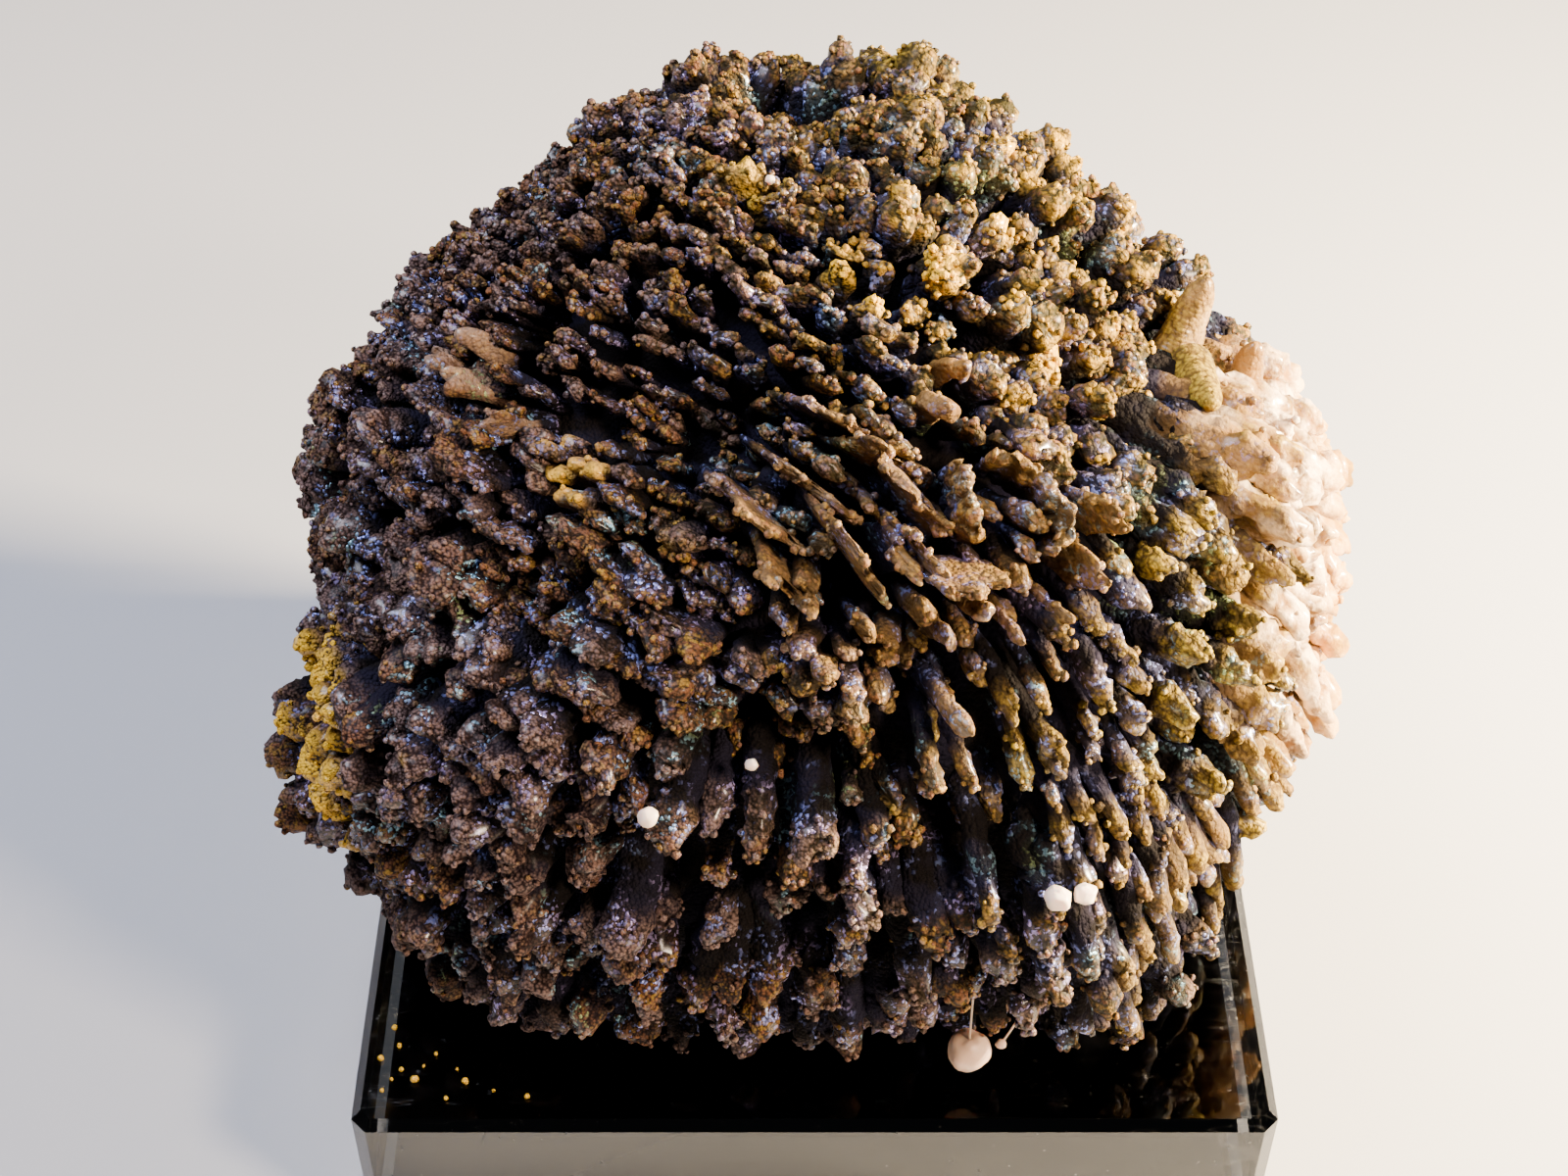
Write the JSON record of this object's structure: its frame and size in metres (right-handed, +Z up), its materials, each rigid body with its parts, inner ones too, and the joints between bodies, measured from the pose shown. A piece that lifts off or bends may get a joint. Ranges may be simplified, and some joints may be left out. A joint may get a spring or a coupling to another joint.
{
  "type": "goethite",
  "caption": "Rounded mass of stubby, iridescent brown goethite fingers with pale mineral beads, on a clear square acrylic display block.",
  "frame": {"origin": "centre of the acrylic block's underside", "axes": "+Z up, -Y towards the front, where the specimen's best face looks up and forwards, +X to the right seen from the front"},
  "size_m": [0.0879, 0.0822, 0.0864],
  "materials": {
    "goethite": "dark brown velvety to sub-metallic crust with blue-violet iridescence and ochre patches",
    "acrylic": "clear colourless acrylic with polished faces and chamfers",
    "bead": "pale cream translucent mineral with a soft waxy surface"
  },
  "bodies": {
    "root": {"acrylic_block": "acrylic", "goethite": "goethite", "hanging_bead": "bead", "left_bead": "bead", "right_bead": "bead"}
  },
  "joints": []
}
